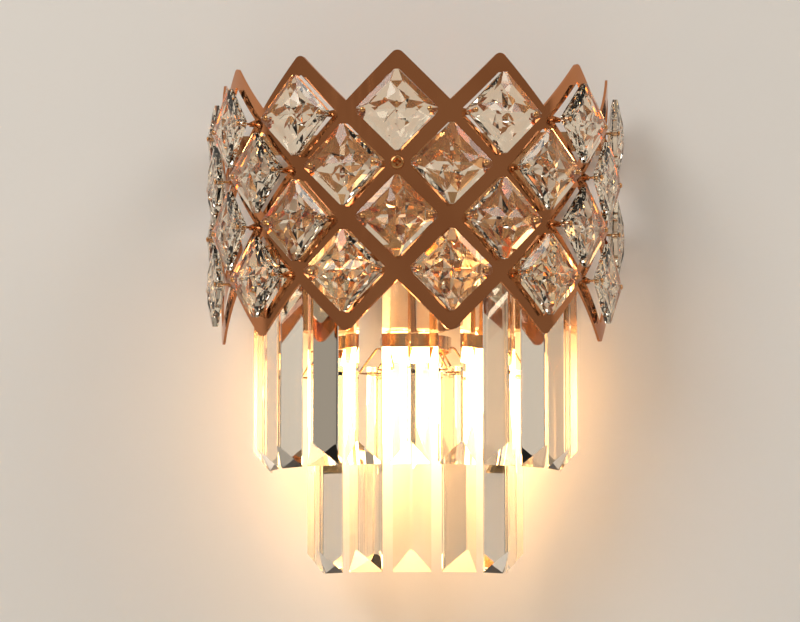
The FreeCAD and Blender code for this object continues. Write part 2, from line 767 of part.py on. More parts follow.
def lamps():
    """Two hanging lamp holders with their nipples, and an opal candle lamp screwed into each."""
    across = size("lamp_spacing") / 2
    spots = [Placement(Vector(side * across, -size("lamp_depth"), 0), Rotation()) for side in (-1, 1)]
    under = size("shelf_height") - size("shelf_sheet")
    wide = size("holder_radius")
    nipple = size("nipple_radius")
    foot = under - size("holder_length")
    cap = size("cap_radius")
    seat = foot + size("cap_length")
    top = size("shelf_height") + size("nipple_up")
    bore = cap + 0.2
    holder = [(bore, seat), (bore, foot), (wide - 1.5, foot), (wide, under), (nipple, under), (nipple, top)]
    keep(turned("holders", holder, spots), "lamp_holders")
    neck = size("glass_top")
    end = neck - size("glass_length")
    belly = size("glass_radius")
    glass = [
        (belly * 0.2, end + 2), (belly * 0.62, neck - 62), (belly, neck - 36),
        (belly, neck - 20), (belly * 0.55, neck),
    ]
    keep(turned("glasses", glass, spots, Vector(0, 0, end)), "lamp_glasses")
    shell = [(cap, neck), (cap, seat - 4), (size("cap_contact"), seat - 0.5)]
    keep(turned("caps", shell, spots), "lamp_caps")


# ---------------------------------------------------------------- wiring inside the back plate
def wire(name, path, radius, place=Placement()):
    """A round wire, drawn four-sided, along a path of straight runs with sharp bends."""
    along = path[1] - path[0]
    turn = Rotation(Vector(0, 0, 1), along)
    corners = [path[0] + turn.multVec(corner) for corner in ring_of(radius, 0, sides=4)]
    pipe = Part.BRepOffsetAPI.MakePipeShell(Part.makePolygon(path))
    pipe.setTransitionMode(1)
    pipe.add(Part.makePolygon(corners + corners[:1]))
    pipe.build()
    pipe.makeSolid()
    thing = doc.addObject("Part::Feature", name)
    thing.Shape = pipe.shape()
    thing.Placement = place
    return thing


def wiring():
    """A terminal block on the wall bracket and a lead from it to each lamp holder."""
    body = new_body("terminals")
    half = "<terminal_half>"
    low = "<terminal_low>"
    base = new_sketch(body, "terminal_outline", plane="XZ_Plane", lift="<bracket_sheet>")
    outline(base, rectangle(f"-{half}", low, half, f"{low} + <terminal_tall>"))
    pad(body, base, "<terminal_deep>")
    ways = new_sketch(body, "terminal_ways", lift=f"{low} - 1")
    near = "-<bracket_sheet> - <terminal_deep> / 2"
    for step in (-1, 0, 1):
        spot = f"{step} * <terminal_pitch>"
        outline(ways, rectangle(f"{spot} - <terminal_way>", f"{near} - <terminal_way>",
                                f"{spot} + <terminal_way>", f"{near} + <terminal_way>"))
    pocket(body, ways, "<terminal_tall> + 2", back=True)
    foot = new_sketch(body, "terminal_foot", plane="XZ_Plane", lift="<bracket_sheet>")
    outline(foot, rectangle(f"-{half}", f"{low} - <terminal_foot>", half, low))
    pad(body, foot, "<terminal_foot_deep>")
    keep(body, "terminal_block")
    depth = size("lamp_depth")
    bend = size("lead_bend")
    lead = wire("lead_master", [
        Vector(0, -depth, size("shelf_height") + size("nipple_up")),
        Vector(0, -depth, LEAD_HEIGHT - bend),
        Vector(0, -depth + bend, LEAD_HEIGHT),
        Vector(0, -size("plate_deep") + size("lead_inside"), LEAD_HEIGHT),
    ], size("lead_wire"))
    spots = [Placement(Vector(side * size("lamp_spacing") / 2, 0, 0), Rotation()) for side in (-1, 1)]
    keep(copies("leads", lead, spots), "holder_leads")


def build():
    """Makes every sub-part, checks it and writes it out."""
    lattice_band()
    crystals()
    hoop("upper", 11, leg=False)
    hoop("lower", 7, leg=True)
    back_plate()
    wall_bracket()
    front_arm()
    cross_arm()
    fasteners()
    lamp_bracket()
    lamps()
    wiring()
    doc.recompute()
    for thing in doc.Objects:
        if "Invalid" in thing.State or "Error" in thing.State:
            raise RuntimeError(f"{thing.Label} failed to compute: {thing.State}")
    os.makedirs("parts", exist_ok=True)
    for thing in nodes:
        shape = thing.Shape
        if shape.isNull() or not shape.isValid() or not shape.Solids:
            raise RuntimeError(f"{thing.Label} is not a sound solid")
    for thing in nodes:
        thing.Shape.exportStep(f"parts/{thing.Label}.step")
    print(f"{len(nodes)} sub-parts written")


build()
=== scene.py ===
"""Looks of a half-round crystal wall light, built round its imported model.

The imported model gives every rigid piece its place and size. This script gives each of them its
finish, and puts rounder or more finely cut pieces in place of the plainest ones: the square
crystals with their pins, the wire clips, the screws and nuts, the lamps with their holders, and
the leads in the back plate.
"""
from __future__ import annotations

import json
import logging
import math
from dataclasses import dataclass, field
from enum import Enum

import bmesh
import bpy
from mathutils import Matrix, Vector

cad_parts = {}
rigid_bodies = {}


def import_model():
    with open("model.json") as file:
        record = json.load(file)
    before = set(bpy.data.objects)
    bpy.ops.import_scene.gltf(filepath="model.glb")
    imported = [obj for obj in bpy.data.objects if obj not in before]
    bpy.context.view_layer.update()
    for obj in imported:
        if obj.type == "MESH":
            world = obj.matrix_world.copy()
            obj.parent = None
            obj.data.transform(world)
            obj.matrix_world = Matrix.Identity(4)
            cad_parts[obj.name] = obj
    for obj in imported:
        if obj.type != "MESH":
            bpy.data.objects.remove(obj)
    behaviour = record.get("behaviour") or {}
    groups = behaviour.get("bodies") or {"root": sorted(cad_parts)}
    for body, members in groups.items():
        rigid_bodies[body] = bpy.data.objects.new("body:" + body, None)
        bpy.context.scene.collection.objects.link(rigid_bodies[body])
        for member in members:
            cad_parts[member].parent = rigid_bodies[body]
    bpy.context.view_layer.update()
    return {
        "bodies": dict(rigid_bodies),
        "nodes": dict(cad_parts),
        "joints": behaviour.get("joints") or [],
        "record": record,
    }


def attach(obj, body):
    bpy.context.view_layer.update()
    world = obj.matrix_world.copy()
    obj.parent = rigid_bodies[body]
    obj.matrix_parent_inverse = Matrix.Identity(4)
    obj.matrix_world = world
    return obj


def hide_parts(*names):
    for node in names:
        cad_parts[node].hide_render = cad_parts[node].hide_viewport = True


LOG = logging.getLogger("wall_light")
MM = 0.001
ROOT = "frame"


class Slot(Enum):
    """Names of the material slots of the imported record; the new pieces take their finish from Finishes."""

    SMALL_GOLD = "small_gold"
    CRYSTAL = "crystal"
    BACK_STEEL = "back_steel"
    HOLDER_WHITE = "holder_white"
    LAMP_OPAL = "lamp_opal"
    LEAD = "lead"


class Tier(Enum):
    """The two tiers of hanging bars."""

    UPPER = "upper"
    LOWER = "lower"


# ---------------------------------------------------------------- finishes
class NodeBoard:
    """A material's node tree with short ways to add and join its nodes."""

    noise_span = (0.3, 0.7)
    ramp_stops = (0.35, 0.65)

    def __init__(self, name: str) -> None:
        """Starts an empty material.

        Args:
            name: The material's name.
        """
        self.material = bpy.data.materials.new(name)
        self.material.use_nodes = True
        self.tree = self.material.node_tree
        self.tree.nodes.clear()
        self.output = self.add("ShaderNodeOutputMaterial")

    def add(self, kind: str, **sockets: object) -> bpy.types.Node:
        """Adds a node.

        Args:
            kind: The node's type.
            **sockets: Values of its inputs, with underscores for the spaces in their names.

        Returns:
            The new node.
        """
        node = self.tree.nodes.new(kind)
        for name, value in sockets.items():
            node.inputs[name.replace("_", " ")].default_value = value
        return node

    def join(self, source: bpy.types.NodeSocket, target: bpy.types.NodeSocket) -> None:
        """Links one socket to another."""
        self.tree.links.new(source, target)

    def places(self, stretch: tuple[float, float, float] = (1.0, 1.0, 1.0)) -> bpy.types.NodeSocket:
        """Object coordinates, stretched.

        Args:
            stretch: How much finer a pattern gets along each axis.

        Returns:
            The socket that holds the coordinates.
        """
        coordinates = self.add("ShaderNodeTexCoord")
        mapping = self.add("ShaderNodeMapping", Scale=stretch)
        self.join(coordinates.outputs["Object"], mapping.inputs["Vector"])
        return mapping.outputs["Vector"]

    def noise(self, scale: float, detail: float, where: bpy.types.NodeSocket) -> bpy.types.NodeSocket:
        """A noise pattern.

        Args:
            scale: Its fineness.
            detail: Its number of layers.
            where: The coordinates it is laid on.

        Returns:
            The socket that holds its value.
        """
        noise = self.add("ShaderNodeTexNoise", Scale=scale, Detail=detail)
        self.join(where, noise.inputs["Vector"])
        return noise.outputs["Fac"]

    def between(self, factor: bpy.types.NodeSocket, low: float, high: float) -> bpy.types.NodeSocket:
        """Spreads a 0 to 1 pattern between two numbers.

        Args:
            factor: The pattern.
            low: The number at its low end.
            high: The number at its high end.

        Returns:
            The socket that holds the new number.
        """
        span = dict(zip(("From_Min", "From_Max"), self.noise_span))
        spread = self.add("ShaderNodeMapRange", **span, To_Min=low, To_Max=high)
        self.join(factor, spread.inputs["Value"])
        return spread.outputs["Result"]

    def blend(self, factor: bpy.types.NodeSocket, first: tuple, second: tuple) -> bpy.types.NodeSocket:
        """Mixes two colours by a pattern.

        Args:
            factor: The pattern.
            first: The colour at its low end.
            second: The colour at its high end.

        Returns:
            The socket that holds the colour.
        """
        ramp = self.add("ShaderNodeValToRGB")
        for stop, position, colour in zip(ramp.color_ramp.elements, self.ramp_stops, (first, second)):
            stop.position = position
            stop.color = (*colour, 1.0)
        self.join(factor, ramp.inputs["Fac"])
        return ramp.outputs["Color"]

    def relief(self, height: bpy.types.NodeSocket, depth: float, strength: float) -> bpy.types.NodeSocket:
        """A bump from a pattern.

        Args:
            height: The pattern.
            depth: The bump's depth in metres.
            strength: How strongly it shows.

        Returns:
            The socket that holds the bent normal.
        """
        bump = self.add("ShaderNodeBump", Strength=strength, Distance=depth)
        self.join(height, bump.inputs["Height"])
        return bump.outputs["Normal"]

    def shade(self, **sockets: object) -> bpy.types.Node:
        """Adds the surface shader and joins it to the output.

        Args:
            **sockets: Values of its inputs, with underscores for the spaces in their names.

        Returns:
            The shader's node.
        """
        shader = self.add("ShaderNodeBsdfPrincipled", **sockets)
        self.join(shader.outputs["BSDF"], self.output.inputs["Surface"])
        return shader


@dataclass(frozen=True)
class Plating:
    """Polished plating on sheet metal, with a faint ripple and fine wiping marks."""

    name: str
    colour: tuple[float, float, float]
    tarnish: tuple[float, float, float]
    smooth: float
    rough: float
    cloud_scale: float = 18.0
    mark_scale: float = 260.0
    mark_stretch: tuple[float, float, float] = (1.0, 1.0, 0.12)
    ripple_scale: float = 45.0
    ripple: float = 0.04 * MM
    ripple_strength: float = 0.35

    def material(self) -> bpy.types.Material:
        """Makes the finish's material."""
        board = NodeBoard(self.name)
        cloudy = board.noise(self.cloud_scale, detail=3.0, where=board.places())
        marks = board.noise(self.mark_scale, detail=5.0, where=board.places(self.mark_stretch))
        wave = board.noise(self.ripple_scale, detail=1.0, where=board.places())
        shader = board.shade(Metallic=1.0)
        board.join(board.blend(cloudy, self.tarnish, self.colour), shader.inputs["Base Color"])
        board.join(board.between(marks, self.smooth, self.rough), shader.inputs["Roughness"])
        board.join(board.relief(wave, self.ripple, self.ripple_strength), shader.inputs["Normal"])
        return board.material


@dataclass(frozen=True)
class CutGlass:
    """Clear cut crystal with polished facets and very faint polishing waves."""

    name: str
    tint: tuple[float, float, float]
    bend: float = 1.55
    haze: tuple[float, float] = (0.002, 0.008)
    haze_scale: float = 500.0
    wave_scale: float = 70.0
    wave_depth: float = 0.02 * MM
    wave_strength: float = 0.12

    def material(self) -> bpy.types.Material:
        """Makes the finish's material."""
        board = NodeBoard(self.name)
        wave = board.noise(self.wave_scale, detail=2.0, where=board.places())
        haze = board.noise(self.haze_scale, detail=3.0, where=board.places())
        shader = board.shade(Base_Color=(*self.tint, 1.0), IOR=self.bend, Transmission_Weight=1.0)
        board.join(board.between(haze, *self.haze), shader.inputs["Roughness"])
        board.join(board.relief(wave, self.wave_depth, self.wave_strength), shader.inputs["Normal"])
        return board.material


@dataclass(frozen=True)
class LitOpal:
    """An opal lamp that is lit: brightest at its belly and a little dimmer towards its neck."""

    name: str
    colour: tuple[float, float, float]
    neck_glow: float
    belly_glow: float
    neck_height: float
    belly_height: float
    skin: tuple[float, float, float] = (0.95, 0.93, 0.88)
    skin_roughness: float = 0.3

    def material(self) -> bpy.types.Material:
        """Makes the finish's material."""
        board = NodeBoard(self.name)
        parts = board.add("ShaderNodeSeparateXYZ")
        board.join(board.places(), parts.inputs["Vector"])
        fade = board.add("ShaderNodeMapRange", From_Min=self.neck_height, From_Max=self.belly_height,
                         To_Min=self.neck_glow, To_Max=self.belly_glow)
        board.join(parts.outputs["Z"], fade.inputs["Value"])
        shader = board.shade(Base_Color=(*self.skin, 1.0), Roughness=self.skin_roughness,
                             Emission_Color=(*self.colour, 1.0))
        board.join(fade.outputs["Result"], shader.inputs["Emission Strength"])
        return board.material


@dataclass(frozen=True)
class SolidFinish:
    """A plain finish, such as glaze, moulded plastic or zinc plating, with a fine grain of its own."""

    name: str
    colour: tuple[float, float, float]
    shade_of: tuple[float, float, float]
    smooth: float
    rough: float
    metallic: float = 0.0
    coat: float = 0.0
    coat_roughness: float = 0.08
    cloud_scale: float = 30.0
    grain: float = 400.0
    depth: float = 0.03 * MM
    relief_strength: float = 0.25

    def material(self) -> bpy.types.Material:
        """Makes the finish's material."""
        board = NodeBoard(self.name)
        cloudy = board.noise(self.cloud_scale, detail=3.0, where=board.places())
        grain = board.noise(self.grain, detail=4.0, where=board.places())
        shader = board.shade(Metallic=self.metallic, Coat_Weight=self.coat,
                             Coat_Roughness=self.coat_roughness)
        board.join(board.blend(cloudy, self.shade_of, self.colour), shader.inputs["Base Color"])
        board.join(board.between(grain, self.smooth, self.rough), shader.inputs["Roughness"])
        board.join(board.relief(grain, self.depth, self.relief_strength), shader.inputs["Normal"])
        return board.material


@dataclass
class Finishes:
    """Every finish of the light, each made once."""

    band: Plating = Plating("copper_gold_band", (0.58, 0.235, 0.10), (0.51, 0.195, 0.08), 0.05, 0.12)
    fittings: Plating = Plating("pale_gold_fittings", (0.78, 0.50, 0.27), (0.68, 0.41, 0.20), 0.12, 0.24)
    sheet: Plating = Plating("gold_back_plate", (0.70, 0.43, 0.23), (0.62, 0.36, 0.18), 0.22, 0.34)
    brass: Plating = Plating("bright_brass_pin", (0.70, 0.36, 0.15), (0.60, 0.29, 0.11), 0.08, 0.16)
    square_glass: CutGlass = CutGlass("square_crystal", (1.0, 0.90, 0.74))
    bar_glass: CutGlass = CutGlass("bar_crystal", (1.0, 0.94, 0.84))
    opal: LitOpal = LitOpal("lit_opal_lamp", (1.0, 0.56, 0.22), neck_glow=7.0, belly_glow=20.0,
                            neck_height=-66.0 * MM, belly_height=-85.0 * MM)
    ceramic: SolidFinish = SolidFinish("white_glaze", (0.88, 0.87, 0.83), (0.83, 0.81, 0.76),
                                       0.18, 0.30, coat=0.4)
    zinc: SolidFinish = SolidFinish("zinc_plate", (0.62, 0.63, 0.64), (0.50, 0.51, 0.53),
                                    0.26, 0.42, metallic=1.0)
    shell: SolidFinish = SolidFinish("lamp_cap_shell", (0.80, 0.78, 0.74), (0.70, 0.68, 0.63),
                                     0.22, 0.36, metallic=1.0)
    plastic: SolidFinish = SolidFinish("terminal_plastic", (0.86, 0.86, 0.84), (0.80, 0.80, 0.78),
                                       0.40, 0.52)
    sleeve: SolidFinish = SolidFinish("lead_sleeve", (0.82, 0.81, 0.78), (0.74, 0.73, 0.70),
                                      0.50, 0.64, grain=900.0)
    made: dict[str, bpy.types.Material] = field(default_factory=dict)

    def of(self, name: str) -> bpy.types.Material:
        """The material of one of the finishes above.

        Args:
            name: The field's name.

        Returns:
            Its material, made at the first call.
        """
        if name not in self.made:
            self.made[name] = getattr(self, name).material()
        return self.made[name]


# ---------------------------------------------------------------- the bench that pieces are made on
class Bench:
    """Ways to shape a piece with mesh operators and to finish it as an object of the light."""

    merge_distance = 0.0001 * MM
    bend_share = 0.48

    @staticmethod
    def placed(name: str, bm: bmesh.types.BMesh) -> bpy.types.Object:
        """Puts a mesh in the scene as an object.

        Args:
            name: The object's name.
            bm: Its mesh, which is freed.

        Returns:
            The new object.
        """
        mesh = bpy.data.meshes.new(name)
        bm.to_mesh(mesh)
        bm.free()
        piece = bpy.data.objects.new(name, mesh)
        bpy.context.scene.collection.objects.link(piece)
        return piece

    @staticmethod
    def quarter(steps: int) -> list[float]:
        """The angles of a quarter turn, in so many steps."""
        return [step / steps * math.pi / 2 for step in range(steps + 1)]

    @staticmethod
    def rod(radius: float, length: float, sides: int) -> bmesh.types.BMesh:
        """A straight rod with flat ends along local Z, with its middle at the origin."""
        bm = bmesh.new()
        bmesh.ops.create_cone(bm, cap_ends=True, segments=sides, radius1=radius, radius2=radius, depth=length)
        return bm

    @staticmethod
    def turn(profile: list[tuple[float, float]], steps: int) -> bmesh.types.BMesh:
        """Spins a half outline round the local Z axis.

        Args:
            profile: (radius, height) points in metres, from one end of the axis to the other.
            steps: The number of stretches in a full turn.

        Returns:
            A mesh with its doubles merged and its faces pointing outwards.
        """
        bm = bmesh.new()
        verts = [bm.verts.new((radius, 0.0, height)) for radius, height in profile]
        edges = [bm.edges.new(pair) for pair in zip(verts, verts[1:])]
        bmesh.ops.spin(bm, geom=verts + edges, cent=(0, 0, 0), axis=(0, 0, 1), dvec=(0, 0, 0),
                       angle=math.tau, steps=steps, use_merge=True)
        bmesh.ops.remove_doubles(bm, verts=bm.verts, dist=Bench.merge_distance)
        bmesh.ops.recalc_face_normals(bm, faces=bm.faces)
        return bm

    @staticmethod
    def rounded(corners: list[Vector], radius: float, steps: int) -> list[Vector]:
        """Rounds the corners of a path of straight runs.

        Args:
            corners: The path's corners.
            radius: How far from a corner its bend begins.
            steps: The number of stretches in each bend.

        Returns:
            The points of the rounded path.
        """
        path = [corners[0]]
        for before, corner, after in zip(corners, corners[1:], corners[2:]):
            runs = [other - corner for other in (before, after)]
            reaches = [min(radius, run.length * Bench.bend_share) for run in runs]
            start, end = (corner + run.normalized() * reach for run, reach in zip(runs, reaches))
            for step in range(steps + 1):
                share = step / steps
                path.append(start.lerp(corner, share).lerp(corner.lerp(end, share), share))
        return path + [corners[-1]]

    @staticmethod
    def wire(path: list[Vector], radius: float, sides: int) -> bmesh.types.BMesh:
        """Sweeps a round section along a path, with closed ends.

        Args:
            path: The points of the wire's middle line.
            radius: The wire's radius.
            sides: The number of sides of its section.

        Returns:
            The wire's mesh.
        """
        bm = bmesh.new()
        ring = bmesh.ops.create_circle(bm, cap_ends=False, segments=sides, radius=radius)["verts"]
        bm.faces.new(ring)
        stance = Matrix.Identity(4)
        for index, point in enumerate(path):
            ahead = (path[min(index + 1, len(path) - 1)] - point).normalized()
            behind = (point - path[max(index - 1, 0)]).normalized()
            direction = (ahead + behind).normalized()
            target = Matrix.Translation(point) @ direction.to_track_quat("Z", "X").to_matrix().to_4x4()
            if index:
                edges = [edge for edge in bm.edges if all(vert in ring for vert in edge.verts)]
                grown = bmesh.ops.extrude_edge_only(bm, edges=edges)["geom"]
                ring = [item for item in grown if isinstance(item, bmesh.types.BMVert)]
            bmesh.ops.transform(bm, matrix=target @ stance.inverted(), verts=ring)
            stance = target
        loose = [edge for edge in bm.edges if edge.is_boundary]
        bmesh.ops.contextual_create(bm, geom=loose)
        bmesh.ops.recalc_face_normals(bm, faces=bm.faces)
        return bm

    @staticmethod
    def copied(master: bmesh.types.BMesh, places: list[Matrix]) -> bmesh.types.BMesh:
        """Puts copies of one shape at several places.

        Args:
            master: The shape, which is freed.
            places: Where each copy stands.

        Returns:
            One mesh with all the copies.
        """
        source = bpy.data.meshes.new("master")
        master.to_mesh(source)
        master.free()
        whole = bmesh.new()
        for place in places:
            before = len(whole.verts)
            whole.from_mesh(source)
            whole.verts.ensure_lookup_table()
            bmesh.ops.transform(whole, matrix=place, verts=whole.verts[before:])
        bpy.data.meshes.remove(source)
        return whole

    @staticmethod
    def finish(name: str, bm: bmesh.types.BMesh, material: bpy.types.Material, slot: Slot,
               replaces: list[str], body: str = ROOT, smooth_angle: float = 35.0) -> bpy.types.Object:
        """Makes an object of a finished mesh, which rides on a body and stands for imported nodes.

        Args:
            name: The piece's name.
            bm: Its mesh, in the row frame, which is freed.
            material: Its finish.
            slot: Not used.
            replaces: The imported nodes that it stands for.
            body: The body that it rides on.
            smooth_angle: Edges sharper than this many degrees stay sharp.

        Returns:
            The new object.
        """
        bm.normal_update()
        limit = math.radians(smooth_angle)
        for face in bm.faces:
            face.smooth = True
        for edge in bm.edges:
            edge.smooth = len(edge.link_faces) == 2 and edge.calc_face_angle(0.0) < limit
        piece = Bench.placed(name, bm)
        piece.data.materials.append(material)
        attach(piece, body)
        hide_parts(*replaces)
        LOG.info("made %s: %d faces, on body %s", name, len(piece.data.polygons), body)
        return piece

    @staticmethod
    def carve(bm: bmesh.types.BMesh, tool: bmesh.types.BMesh) -> bmesh.types.BMesh:
        """Takes one closed shape out of another.

        Args:
            bm: The shape that is cut, which is freed.
            tool: The shape that is taken away, which is freed.

        Returns:
            What is left.
        """
        carved, cutter = Bench.placed("carved", bm), Bench.placed("carving_tool", tool)
        boolean = carved.modifiers.new("cut", "BOOLEAN")
        boolean.operation = "DIFFERENCE"
        boolean.solver = "EXACT"
        boolean.object = cutter
        depsgraph = bpy.context.evaluated_depsgraph_get()
        left = bpy.data.meshes.new_from_object(carved.evaluated_get(depsgraph))
        result = bmesh.new()
        result.from_mesh(left)
        for item in (carved, cutter):
            bpy.data.objects.remove(item)
        return result


@dataclass
class Band:
    """The rolled lattice band, and the places that follow from its sizes."""

    finishes: Finishes
    axis_depth: float = 36.5 * MM
    radius: float = 117.0 * MM
    top_knot: float = 84.9 * MM
    column: float = math.radians(30.0)
    end_angle: float = math.radians(105.0)
    rows: int = 4
    side_columns: int = 3
    front_screw_row: int = 2
    end_screw_row: int = 1

    @property
    def pitch(self) -> float:
        """Height from one row of openings to the next."""
        return self.radius * self.column / 2

    def height(self, row: int) -> float:
        """Height of the middle of a row of openings."""
        return self.top_knot - row * self.pitch

    def columns(self, row: int) -> list[float]:
        """The openings of a row, counted in columns from the front."""
        span = range(-self.side_columns, self.side_columns + 1)
        return [float(k) for k in span] if row % 2 else [k + 0.5 for k in span[:-1]]

    def place(self, angle: float, radius: float, height: float) -> Matrix:
        """Where a piece stands whose local Z points away from the band's axis and local Y up.

        Args:
            angle: The turn round the axis from the front, in radians.
            radius: The distance from the axis.
            height: The height.

        Returns:
            The piece's place.
        """
        spot = Vector((radius * math.sin(angle), -self.axis_depth - radius * math.cos(angle), height))
        turn = Matrix.Rotation(angle, 4, "Z") @ Matrix.Rotation(math.pi / 2, 4, "X")
        return Matrix.Translation(spot) @ turn

    def stations(self, row: int, radius: float, drop: float) -> list[Matrix]:
        """The places on one row of openings.

        Args:
            row: The row, counted from the top.
            radius: Their distance from the axis.
            drop: How far they stand under the openings' middles.

        Returns:
            A place for each opening of the row.
        """
        return [self.place(column * self.column, radius, self.height(row) - drop)
                for column in self.columns(row)]

    def screw_places(self) -> list[Matrix]:
        """The places of the three screws on the band's outer face."""
        front = self.place(0.0, self.radius, self.height(self.front_screw_row))
        end_height = self.height(self.end_screw_row)
        ends = [self.place(side * self.end_angle, self.radius, end_height) for side in (-1, 1)]
        return [front, *ends]

    def dress(self, frame: dict) -> None:
        """Gives the band and the sheet-metal pieces behind it their finishes.

        Args:
            frame: The loaded frame.
        """
        plated = {"lattice_band": "band", "front_arm": "fittings", "cross_arm": "fittings",
                  "upper_hoop": "fittings", "lower_hoop": "fittings", "lamp_bracket": "fittings",
                  "back_plate": "sheet"}
        for node, finish in plated.items():
            Dresser.put(frame, node, self.finishes.of(finish))


class Dresser:
    """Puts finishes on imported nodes."""

    @staticmethod
    def put(frame: dict, node: str, material: bpy.types.Material) -> None:
        """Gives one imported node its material.

        Args:
            frame: The loaded frame.
            node: The node's name.
            material: Its finish.
        """
        slots = frame["nodes"][node].material_slots
        for place in slots:
            place.material = material
        if not len(slots):
            frame["nodes"][node].data.materials.append(material)
        LOG.info("dressed %s with %s", node, material.name)


@dataclass(frozen=True)
class Star:
    """Eight facet corners round a crystal's middle: four of one kind, and four of another between them."""

    turn: float
    first: tuple[float, float]
    second: tuple[float, float]

    @staticmethod
    def cross(radius: float, level: float, turn: float) -> list[Vector]:
        """Four points evenly round the middle.

        Args:
            radius: Their distance from it.
            level: Their height.
            turn: The first point's angle in degrees.

        Returns:
            The points.
        """
        angles = [math.radians(turn) + math.tau * step / 4 for step in range(4)]
        return [Vector((radius * math.cos(angle), radius * math.sin(angle), level)) for angle in angles]

    def corners(self) -> list[Vector]:
        """The eight corners, those of the first kind first."""
        return self.cross(*self.first, self.turn) + self.cross(*self.second, 45.0 - self.turn)


@dataclass
class SquareCrystals:
    """The square crystals of the band and the pins that hold them."""

    band: Band
    finishes: Finishes
    middle_radius: float = 121.5 * MM
    drop: float = 0.7 * MM
    half: float = 17.4 * MM
    corner: float = 1.6 * MM
    bevel: float = 3.4 * MM
    edge: float = 1.5 * MM
    shoulder: float = 3.0 * MM
    front_star: Star = Star(0.0, (9.5 * MM, 4.7 * MM), (8.0 * MM, 3.1 * MM))
    front_tip: float = 5.0 * MM
    back_stars: tuple[Star, ...] = (Star(0.0, (12.0 * MM, -4.2 * MM), (10.4 * MM, -3.0 * MM)),
                                    Star(45.0, (6.5 * MM, -4.9 * MM), (5.0 * MM, -3.4 * MM)))
    back_tip: float = -4.6 * MM
    facet_angle: float = 0.2
    pin_offset: float = 19.4 * MM
    hole: float = 1.3 * MM
    hole_sides: int = 16
    drill: float = 20.0 * MM
    shank: float = 0.74 * MM
    head: float = 1.55 * MM
    head_rise: float = 1.1 * MM
    head_edge: float = 0.3 * MM
    head_foot: float = 0.94
    seat: float = 2.4 * MM
    dome_steps: int = 5
    pin_sides: int = 18

    @staticmethod
    def square(half: float, corner: float, level: float) -> list[Vector]:
        """A square with cut corners that stands on one corner.

        Args:
            half: Half the square's side.
            corner: How much of each side is lost at a corner.
            level: The height of its plane.

        Returns:
            Its eight corners.
        """
        flat = (half * 2 - corner) / math.sqrt(2)
        cut = corner / math.sqrt(2)
        quarter = [(flat, -cut), (flat, cut), (cut, flat), (-cut, flat)]
        return [Vector((sign * x, sign * y, level)) for sign in (1, -1) for x, y in quarter]

    @staticmethod
    def web(bm: bmesh.types.BMesh, outer: list[bmesh.types.BMVert], inner: list[bmesh.types.BMVert]) -> None:
        """Cuts triangular facets between two rings of corners.

        Args:
            bm: The crystal's mesh.
            outer: The outer ring, in any order.
            inner: The inner ring, in any order.
        """
        rings = [sorted(ring, key=lambda vert: math.atan2(vert.co.y, vert.co.x)) for ring in (outer, inner)]
        turns = [[math.atan2(vert.co.y, vert.co.x) for vert in ring] for ring in rings]
        counts = [len(ring) for ring in rings]
        steps = [0, 1 if counts[1] == 1 else 0]
        while steps[0] < counts[0] or steps[1] < counts[1]:
            ahead = [turns[side][(steps[side] + 1) % counts[side]]
                     + math.tau * ((steps[side] + 1) // counts[side]) for side in (0, 1)]
            side = 1 if steps[0] == counts[0] or (steps[1] < counts[1] and ahead[1] < ahead[0]) else 0
            corners = [rings[0][steps[0] % counts[0]], rings[1][steps[1] % counts[1]]]
            corners.append(rings[side][(steps[side] + 1) % counts[side]])
            bm.faces.new(corners)
            steps[side] += 1

    def cut(self) -> bmesh.types.BMesh:
        """Cuts one crystal: a star in front, two stars behind and two drilled holes.

        Returns:
            The crystal's mesh, its front along local Z.
        """
        bm = bmesh.new()
        rim = [self.square(self.half, self.corner, side * self.edge) for side in (-1, 1)]
        shoulder = [self.square(self.half - self.bevel, self.corner + self.bevel, side * self.shoulder)
                    for side in (-1, 1)]
        front = [rim[1], shoulder[1], self.front_star.corners(), [Vector((0, 0, self.front_tip))]]
        back = [rim[0], shoulder[0], *(star.corners() for star in self.back_stars)]
        back.append([Vector((0, 0, self.back_tip))])
        sides = [[[bm.verts.new(point) for point in ring] for ring in rings] for rings in (front, back)]
        for rings in sides:
            for outer, inner in zip(rings, rings[1:]):
                self.web(bm, outer, inner)
        self.web(bm, sides[0][0], sides[1][0])
        bmesh.ops.recalc_face_normals(bm, faces=bm.faces)
        for side in (-1, 1):
            drill = Bench.rod(self.hole, self.drill, self.hole_sides)
            bmesh.ops.translate(drill, verts=drill.verts, vec=(side * self.pin_offset, 0, 0))
            bm = Bench.carve(bm, drill)
        return bm

    def crystals(self) -> None:
        """Sets a row of cut crystals in each row of openings."""
        for row in range(1, self.band.rows + 1):
            glass = Bench.copied(self.cut(), self.band.stations(row, self.middle_radius, self.drop))
            Bench.finish(f"cut_crystals_row_{row}", glass, self.finishes.of("square_glass"), Slot.CRYSTAL,
                         [f"crystals_row_{row}"], smooth_angle=self.facet_angle)

    def pins(self) -> None:
        """Makes the small domed pins, two to a crystal."""
        foot = math.sqrt(self.band.radius ** 2 - self.pin_offset ** 2) - self.middle_radius
        profile = [(0.0, foot), (self.shank, foot), (self.shank, self.seat),
                   (self.head * self.head_foot, self.seat)]
        for turn in Bench.quarter(self.dome_steps):
            rise = self.head_edge + (self.head_rise - self.head_edge) * math.sin(turn)
            profile.append((self.head * math.cos(turn), self.seat + rise))
        places = [station @ Matrix.Translation((side * self.pin_offset, 0, 0))
                  for row in range(1, self.band.rows + 1)
                  for station in self.band.stations(row, self.middle_radius, self.drop) for side in (-1, 1)]
        pins = Bench.copied(Bench.turn(profile, self.pin_sides), places)
        Bench.finish("domed_pins", pins, self.finishes.of("brass"), Slot.SMALL_GOLD, ["crystal_pins"])


